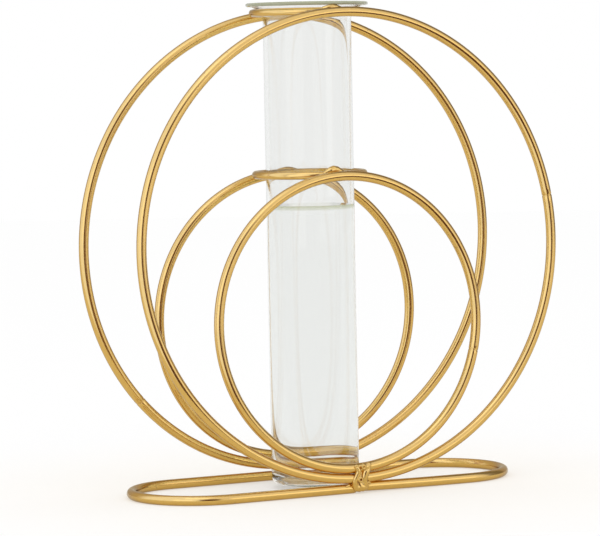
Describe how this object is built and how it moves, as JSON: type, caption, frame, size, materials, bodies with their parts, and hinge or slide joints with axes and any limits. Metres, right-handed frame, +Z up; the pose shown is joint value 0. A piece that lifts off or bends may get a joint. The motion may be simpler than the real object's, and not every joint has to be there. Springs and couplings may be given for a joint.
{
  "type": "test tube vase",
  "caption": "Bud vase: a flared glass test tube that lifts out of a gold wire stand of paired round hoops welded to an oval base loop and two collars.",
  "frame": {"origin": "on the table under the middle of the large hoops, which is the middle of the box round the part", "axes": "+Z up along the tube, +X along the base loop, -Y towards the front"},
  "size_m": [0.192, 0.064, 0.1983],
  "materials": {
    "stand_wire": "satin gold paint on round steel wire, with a fine grain",
    "weld_metal": "gold paint over lumpy weld metal",
    "tube_glass": "clear glass, pale green at the rim"
  },
  "bodies": {
    "stand": {"base_loop": "stand_wire", "base_seam": "weld_metal", "front_large_hoop": "stand_wire", "front_large_seam": "weld_metal", "back_large_hoop": "stand_wire", "back_large_seam": "weld_metal", "front_small_hoop": "stand_wire", "front_small_seam": "weld_metal", "back_small_hoop": "stand_wire", "upper_collar": "stand_wire", "lower_collar": "stand_wire", "upper_front_weld": "weld_metal", "upper_back_weld": "weld_metal", "lower_front_weld": "weld_metal", "lower_back_weld": "weld_metal", "front_foot_weld": "weld_metal", "back_foot_weld": "weld_metal"},
    "tube": {"glass_tube": "tube_glass"}
  },
  "joints": [
    {"name": "tube_lift", "type": "slide", "parent": "stand", "child": "tube", "axis": [0, 0, 1], "range_m": [0, 0.2]}
  ]
}
